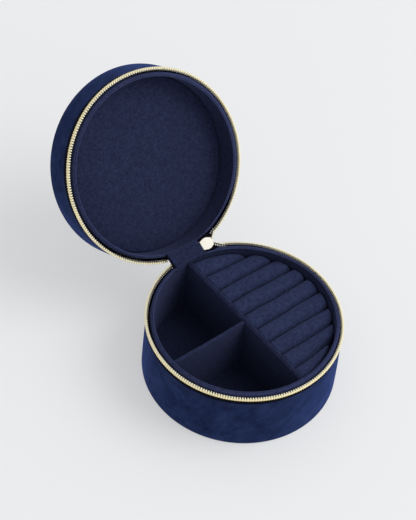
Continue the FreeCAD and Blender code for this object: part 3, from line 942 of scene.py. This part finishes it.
def makeRoll(number):
    columns, rows = ringRoll["columns"], ringRoll["rows"]
    width = columns + 1
    alongs = [math.sin(0.5 * math.pi * row / rows) for row in range(rows + 1)]
    spreads = [0.5 - 0.5 * math.cos(math.pi * column / columns) for column in range(width)]
    points = [rollPoint(number, along, spread) for along in alongs for spread in spreads]
    faces = []
    for row in range(rows):
        for column in range(columns):
            here = row * width + column
            faces.append((here, here + 1, here + width + 1, here + width))
    border = list(range(width))
    border += [row * width + columns for row in range(1, rows + 1)]
    border += [rows * width + column for column in range(columns - 1, -1, -1)]
    border += [row * width for row in range(rows - 1, 0, -1)]
    foot = len(points)
    points += [Vector((points[index].x, points[index].y, ringRoll["floor"])) for index in border]
    for index, edge in enumerate(border):
        following = (index + 1) % len(border)
        faces.append((edge, foot + index, foot + following, border[following]))
    faces.append(tuple(range(foot, foot + len(border))))
    return newPiece("ringRoll%d" % (number + 1), points, faces, rollSuede, insertPlace, 75.0)


for number in range(ringRoll["count"]):
    roll = settle(makeRoll(number), "base", "roll_suede", "ring_roll_%d" % (number + 1))
print("dividers and", ringRoll["count"], "ring rolls")


# Fabric hinge: inner strip and outer velvet spine, each in a lower and an upper half
hingeStrip = {"bow": 0.35, "tuck": 0.7, "tuckShare": 0.08, "seatGap": 0.06, "wallGap": 0.02, "tuckIn": 0.05,
              "round": 0.25, "ridge": 0.6, "ridgeWide": 0.045, "ridgeAt": (0.115, 0.885), "across": 30}
hingeSpine = {"radius": 54.12, "hem": 4.9, "thick": 0.66, "setback": 1.9, "bend": 0.3}
foldShares = (0.08, 0.5, 0.92)
crosswise = Vector((1.0, 0.0, 0.0))


def bandLoop(path, share, xs, thick, ridge):
    # a closed loop across the band at one share of its path: top side out, under side back
    fold = sum(math.exp(-((share - at) / hingeStrip["ridgeWide"]) ** 2) for at in hingeStrip["ridgeAt"])
    top, under = [], []
    for x in xs:
        here = path(x, share)
        lift = crosswise.cross(path(x, share + 0.01) - path(x, share - 0.01)).normalized()
        edge = min(x - xs[0], xs[-1] - x)
        slim = thick * (0.55 + 0.45 * smoothStep(edge / hingeStrip["round"]))
        top.append(here + lift * (slim + ridge * fold))
        under.append(here + lift * (thick - slim))
    return top + under[::-1]


def bandHalves(name, path, xs, thick, material, steps, ridge=0.0):
    pieces = []
    for title, first, last in (("Lower", 0.0, 0.5), ("Upper", 0.5, 1.0)):
        shares = [first + (last - first) * step / steps for step in range(steps + 1)]
        loops = [bandLoop(path, share, xs, thick, ridge) for share in shares]
        pieces.append(loft(name + title, loops, material, None, False, 60.0))
    return pieces


def acrossSteps(count):
    inset, low, high = hingeStrip["round"], strip["left"], strip["right"]
    body = [low + inset + (high - low - 2 * inset) * step / count for step in range(count + 1)]
    return [low, low + inset * 0.4] + body + [high - inset * 0.4, high]


def stripPath(x, share):
    size = hingeStrip
    arc = math.sqrt((case["inside"] + size["wallGap"]) ** 2 - x ** 2)
    drop = wallLining["rimDrop"] + strip["seat"] - size["seatGap"]

    def onBase(y, depth):
        return Vector((x, y, case["meeting"] - depth))

    def onLid(y, depth):
        return openPlace["lid"] @ Vector((x, y, case["meeting"] + depth))

    start, end, tuck = onBase(arc, drop), onLid(arc, drop), size["tuckShare"]
    if share < tuck:
        return onBase(arc - size["tuckIn"], drop + size["tuck"]).lerp(start, max(share, -tuck) / tuck)
    if share > 1.0 - tuck:
        return end.lerp(onLid(arc - size["tuckIn"], drop + size["tuck"]),
                        (min(share, 1.0 + tuck) - 1.0 + tuck) / tuck)
    inside = (share - tuck) / (1.0 - 2 * tuck)
    lift = crosswise.cross(end - start).normalized()
    return start.lerp(end, inside) + lift * size["bow"] * math.sin(math.pi * inside)


def spinePath(x, share):
    size = hingeSpine
    arc = math.sqrt(size["radius"] ** 2 - x ** 2)
    start = Vector((x, arc, case["meeting"] - size["hem"]))
    end = openPlace["lid"] @ Vector((x, arc, case["meeting"] + size["hem"]))
    rise = Vector((0.0, 0.0, 1.0))
    fall = openPlace["lid"].to_3x3() @ rise
    apex = start + rise * ((end.z - start.z) - fall.z * (end.y - start.y) / fall.y)
    turnIn, turnOut = apex - rise * size["setback"], apex + fall * size["setback"]
    bend = size["bend"]
    if share < bend:
        return start.lerp(turnIn, share / bend)
    if share > 1.0 - bend:
        return turnOut.lerp(end, (share - (1.0 - bend)) / bend)
    return curved(turnIn, apex, turnOut, (share - bend) / (1.0 - 2 * bend))


def crossFold(pieces, path, slot, replaced):
    lower, upper = pieces
    start, middle, end = (path(0.0, share) * mm for share in foldShares)
    tuple(start)
    tuple(middle)
    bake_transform(lower)
    tuple(middle)
    tuple(end)
    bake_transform(upper)
    for piece in pieces:
        label(piece, slot, replaced)


acrossHinge = acrossSteps(hingeStrip["across"])
crossFold(bandHalves("hingeLining", stripPath, acrossHinge, strip["thick"], navySuede, 56, hingeStrip["ridge"]),
          stripPath, "navy_suede", "hinge_lining")
tapeEnd = {"wide": 1.1, "under": 0.4, "sunk": 0.3, "thick": 0.4, "across": 8}


def tapeEndPath(x, share):
    # folded end of the zip tape, along the left edge of the strip
    lift = crosswise.cross(stripPath(x, 0.9) - stripPath(x, 0.1)).normalized()
    return stripPath(x, share) - lift * tapeEnd["sunk"]


tapeAcross = [strip["left"] - tapeEnd["wide"] + (tapeEnd["wide"] + tapeEnd["under"]) * step / tapeEnd["across"]
              for step in range(tapeEnd["across"] + 1)]
crossFold(bandHalves("hingeTapeEnd", tapeEndPath, tapeAcross, tapeEnd["thick"], blackTape, 22),
          stripPath, "zip_tape", "hinge_lining")
crossFold(bandHalves("hingeVelvet", spinePath, acrossHinge, hingeSpine["thick"], navyVelvet, 26),
          spinePath, "navy_velvet", "hinge_velvet")
print("fabric hinge")


# Slider and pull, in the slider's own frame: X along the zip, Y outwards, Z across
slider = {
    "park": math.radians(14.2), "length": 7.0, "width": 6.8, "rear": 5.2, "plate": 0.6, "inner": 53.33,
    "outer": 55.7, "flange": 0.55, "channel": 2.75, "lip": ((-2.6, 1.6), (-1.2, 1.0)), "lipIn": (0.1, 0.05),
    "lipSoft": 0.1, "post": (0.2, 1.5, 2.8), "wedge": 0.9, "bail": 1.4, "bailSoft": 0.14,
    "bailArcs": ((2.2, 1.75), (1.55, 1.1)), "sunk": 0.1, "soft": 0.16,
}
pull = {
    "axis": 56.85, "length": 15.0, "width": 5.0, "eye": 3.8, "thick": 0.8, "window": 2.3, "corner": 0.4,
    "cornerShare": 0.6, "start": 0.9, "arm": 0.65, "armEnd": 1.1, "armSoft": 0.12, "bar": 0.45, "barEnd": 0.92,
    "soft": 0.18,
}
sliderPlace = (openPlace["strip"] @ Matrix.Rotation(-slider["park"], 4, "Z")
               @ Matrix.Translation((0.0, 0.0, case["meeting"])))


def roundNose(middle, side):
    turns = [math.pi * step / 14 for step in range(15)]
    return [(middle + side * math.sin(turn), -side * math.cos(turn)) for turn in turns]


def cast(name, outline, low, high, axis, place, soft, segments=2):
    # an outline pushed along one axis, as metal with softened edges; soft 0 leaves them hard
    spot = "XYZ".index(axis)
    loops = [[Vector((*pair[:spot], level, *pair[spot:])) for pair in outline] for level in (low, high)]
    if not soft:
        return loft(name, loops, creamGold, place)
    piece = loft(name, loops, creamGold, place, False, 30.0)
    bevel = piece.modifiers.new("soft", "BEVEL")
    bevel.width = soft * mm
    bevel.segments = segments
    bevel.limit_method = "ANGLE"
    bevel.angle_limit = math.radians(35.0)
    bevel.use_clamp_overlap = True
    bevel.harden_normals = True
    return evaluated(piece, bevel)


def makeSlider():
    size = slider
    half, side, rear = size["length"] / 2, size["width"] / 2, size["rear"] / 2
    shoulder = half - side
    plate = ([(-half, -rear), (shoulder - side / 4, -side)] + roundNose(shoulder, side)
             + [(shoulder - side / 4, side), (-half, rear)])
    parts = [cast("plate", plate, level, level + size["plate"], "Y", sliderPlace, size["soft"])
             for level in (size["inner"] - size["plate"], size["outer"])]
    level = size["outer"] - size["flange"] + size["sunk"]
    (rootRear, rootFront), (edgeRear, edgeFront) = size["lip"]
    rearIn, frontIn = size["lipIn"]
    for sign in (-1, 1):
        lip = [(rootRear, sign * size["channel"]), (rootFront, sign * size["channel"]),
               (edgeFront, sign * (side - frontIn)), (edgeRear, sign * (side - rearIn))]
        parts.append(cast("lip", lip, level, level + size["flange"], "Y", sliderPlace, size["lipSoft"], 1))
    back, middle, front = size["post"]
    post = [(back, 0.0), (middle, -size["wedge"] / 2), (front, 0.0), (middle, size["wedge"] / 2)]
    parts.append(cast("post", post, size["inner"] - size["sunk"], size["outer"] + size["sunk"], "Y",
                      sliderPlace, 0.0))
    top = size["outer"] + size["plate"]
    turns = [math.pi * step / 12 for step in range(13)]
    over, under = ([(-reach * math.cos(turn), top - size["sunk"] + (rise + size["sunk"]) * math.sin(turn))
                    for turn in turns] for reach, rise in size["bailArcs"])
    parts.append(cast("bail", over + under[::-1], -size["bail"] / 2, size["bail"] / 2, "Z", sliderPlace,
                      size["bailSoft"]))
    return joined("zipSlider", parts)


def makePull():
    size = pull
    place = sliderPlace @ Matrix.Translation((0.0, size["axis"], 0.0)) @ Matrix.Rotation(slider["park"], 4, "Z")
    eye, tab, half, start = size["eye"] / 2, size["width"] / 2, size["thick"] / 2, size["start"]
    neck, gap = size["bar"] + size["window"], eye - size["arm"]
    corner, slant = neck - size["corner"], gap * size["cornerShare"]
    blade = ([(start, -eye), (neck, -eye), (2 * neck, -tab)] + roundNose(size["length"] - tab, tab)
             + [(2 * neck, tab), (neck, eye), (start, eye)])
    window = [(start, gap), (corner, gap), (neck, slant), (neck, -slant), (corner, -gap), (start, -gap)]
    parts = [cast("blade", blade + window, -half, half, "X", place, size["soft"])]
    turns = [fullTurn * spoke / 16 for spoke in range(16)]
    rings = []
    for step in range(13):
        slim = size["bar"] * (size["barEnd"] if step in (0, 12) else 1.0)
        rings.append([Vector((slim * math.cos(turn), slim * math.sin(turn), -eye + 2 * eye * step / 12))
                      for turn in turns])
    parts.append(loft("bar", rings, creamGold, place))
    for sign in (-1, 1):
        arm = [(0.0, sign * eye), (size["armEnd"], sign * eye), (size["armEnd"], sign * gap), (0.0, sign * gap)]
        parts.append(cast("arm", arm, -half, half, "X", place, size["armSoft"], 1))
    return joined("zipPull", parts)


settle(makeSlider(), "slider", "gold_slider", "zip_slider")
settle(makePull(), "pull", "gold_slider", "zip_pull")
print("slider and pull")


# Short ends of the zip between the rows and the slider's mouth
chainEnd = {
    "steps": 20, "count": 5, "mouth": 2.7, "spread": 2.5, "stitches": 6, "sewnIn": -1.08, "sewnUp": 0.65,
    "rear": -3.6, "closed": 1.7, "rearSteps": 8,
    # L-shaped tape under and behind the teeth, as (outward, towards the other row)
    "section": ((-1.06, -2.7), (-0.82, -2.7), (-0.82, -0.6), (0.18, -0.6), (0.18, -0.02), (-0.82, -0.02),
                (-0.82, 1.6), (-1.06, 1.6)),
}


def chainEndPath(half):
    first, sign = zipEnds[0], case["side"][half]
    ring = openPlace[half] @ onHalf(half, teethRow["radius"], first, teethRow["tailDrop"])
    leaving = openPlace[half].to_3x3() @ Vector((-math.cos(first), math.sin(first), 0.0))
    mouth = sliderPlace @ Vector((chainEnd["mouth"], teethRow["radius"], sign * chainEnd["spread"]))
    bend = ring + leaving * (mouth - ring).length * 0.5
    atRing = openPlace[half].to_3x3() @ polar(1.0, first, 0.0)
    atMouth = sliderPlace.to_3x3() @ Vector((0.0, 1.0, 0.0))
    shares = [step / chainEnd["steps"] for step in range(chainEnd["steps"] + 1)]
    path = [curved(ring, bend, mouth, t) for t in shares]
    outwards = [atRing.lerp(atMouth, t).normalized() for t in shares]
    if half == "base":
        path.reverse()
        outwards.reverse()
    return path, outwards, ring, mouth


def throughSlider(half, path, outwards):
    # the tape runs on between the plates to the strip's edge
    rear = sliderPlace @ Vector((chainEnd["rear"], teethRow["radius"], case["side"][half] * chainEnd["closed"]))
    end, steps = (0 if half == "base" else -1), chainEnd["rearSteps"]
    more = [path[end].lerp(rear, (step + 1) / steps) for step in range(steps)]
    facing = [outwards[end]] * steps
    if half == "base":
        return more[::-1] + path, facing + outwards
    return path + more, outwards + facing


def makeChainTape(half, path, outwards):
    loops = []
    for index, here in enumerate(path):
        along = directionAt(path, index)
        outward = (outwards[index] - along * along.dot(outwards[index])).normalized()
        rise = along.cross(outward)
        loops.append([here + outward * a + rise * b for a, b in chainEnd["section"]])
    return loft(half + "ChainTape", loops, blackTape)


def chainStitchPath(path, outwards):
    along = (path[-1] - path[0]).normalized()
    return [here + outward * chainEnd["sewnIn"] + along.cross(outward) * chainEnd["sewnUp"]
            for here, outward in zip(path, outwards)]


for half in halves:
    path, outwards, ring, mouth = chainEndPath(half)
    teeth = rowAlong(half + "ChainTeeth", path, outwards, coilTurn, chainEnd["count"], highlitToothGold)
    tape = makeChainTape(half, *throughSlider(half, path, outwards))
    sewn = rowAlong(half + "ChainStitches", chainStitchPath(path, outwards), outwards, paleStitch,
                    chainEnd["stitches"], paleThread)
    for piece, slot, replaced in ((teeth, "gold_teeth", "_zip_teeth"), (tape, "zip_tape", "_zip_tape"),
                                  (sewn, "zip_tape", "_zip_tape")):
        if half == "base":
            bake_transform(piece)
        else:
            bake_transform(piece)
        label(piece, slot, half + replaced)
print("zip ends at the slider")


# The other cards and the foam keep their CAD shape, in their own finish
for name, node in nodes.items():
    if name.endswith("_board") or name == "ring_riser":
        node.data.materials.clear()
        node.data.materials.append(darkFoam if name == "ring_riser" else greyCard)
for pattern in (coilTurn, paleStitch, navyStitch):
    bpy.data.objects.remove(pattern)


# Floor, light and camera
studio = {
    "floor": (0.46, 0.463, 0.469), "floorGlow": (0.99, 0.995, 1.0), "floorPower": 0.42, "floorReach": 3000.0,
    "sky": (0.98, 0.985, 1.0), "skyLow": 0.45, "skyHigh": 1.22, "skySide": (0.48, -0.28, -0.5),
    "keyFrom": (1050.0, -900.0, 1850.0), "keyAim": (0.0, 40.0, 30.0), "keySize": 1700.0, "keyPower": 22.0,
}
view = {
    "azimuth": -41.093, "elevation": 50.854, "roll": 6.906, "distance": 2000.0, "aim": (0.0, 0.0, 41.3),
    "right": -20.137, "up": 33.313, "pixelFocus": 3621.0, "frameHeight": 520.0, "sensor": 36.0,
    "farthest": 20000.0,
}


def makeFloor():
    reach = studio["floorReach"] * mm
    mesh = bpy.data.meshes.new("studioFloor")
    mesh.from_pydata([(-reach, -reach, 0.0), (reach, -reach, 0.0), (reach, reach, 0.0), (-reach, reach, 0.0)],
                     [], [(0, 1, 2, 3)])
    material, tree, shader = newMaterial("studioFloor")
    feed(tree, shader, {
        "Base Color": (*studio["floor"], 1.0), "Emission Color": (*studio["floorGlow"], 1.0),
        "Emission Strength": studio["floorPower"], "Roughness": 0.9, "Specular IOR Level": 0.1})
    mesh.materials.append(material)
    addObject("studioFloor", mesh)


def makeSky():
    sky = bpy.data.worlds.new("studioSky")
    sky.use_nodes = True
    tree = sky.node_tree
    way = addNode(tree, "ShaderNodeTexCoord")
    side = addNode(tree, "ShaderNodeVectorMath", {
        0: way["Generated"], 1: Vector(studio["skySide"]).normalized()}, operation="DOT_PRODUCT")
    ramp = addNode(tree, "ShaderNodeMapRange", {
        "Value": side["Value"], "From Min": -1.0, "From Max": 1.0, "To Min": studio["skyLow"],
        "To Max": studio["skyHigh"]})
    feed(tree, tree.nodes["Background"], {"Color": (*studio["sky"], 1.0), "Strength": ramp["Result"]})
    bpy.context.scene.world = sky


def makeKeyLight():
    lamp = bpy.data.lights.new("keyLight", "AREA")
    lamp.shape = "DISK"
    lamp.size = studio["keySize"] * mm
    lamp.energy = studio["keyPower"]
    light = addObject("keyLight", lamp)
    light.location = Vector(studio["keyFrom"]) * mm
    facing = Vector(studio["keyAim"]) * mm - light.location
    light.rotation_euler = facing.to_track_quat("-Z", "Y").to_euler()


def makeCamera():
    turn, rise, roll = (math.radians(view[key]) for key in ("azimuth", "elevation", "roll"))
    back = Vector((math.sin(turn) * math.cos(rise), -math.cos(turn) * math.cos(rise), math.sin(rise)))
    level = Vector((math.cos(turn), math.sin(turn), 0.0))
    upward = back.cross(level)
    right = level * math.cos(roll) + upward * math.sin(roll)
    up = upward * math.cos(roll) - level * math.sin(roll)
    at = Vector(view["aim"]) + back * view["distance"] + right * view["right"] + up * view["up"]
    lens = bpy.data.cameras.new("photoCamera")
    lens.sensor_fit = "VERTICAL"
    lens.sensor_height = view["sensor"]
    lens.lens = view["pixelFocus"] * view["sensor"] / view["frameHeight"]
    lens.clip_end = view["farthest"] * mm
    camera = addObject("photoCamera", lens)
    camera.matrix_world = Matrix.Translation(at * mm) @ Matrix((right, up, back)).transposed().to_4x4()
    bpy.context.scene.camera = camera


makeFloor()
makeSky()
makeKeyLight()
makeCamera()
bpy.context.scene.view_settings.view_transform = "Standard"
print("floor, light and camera")
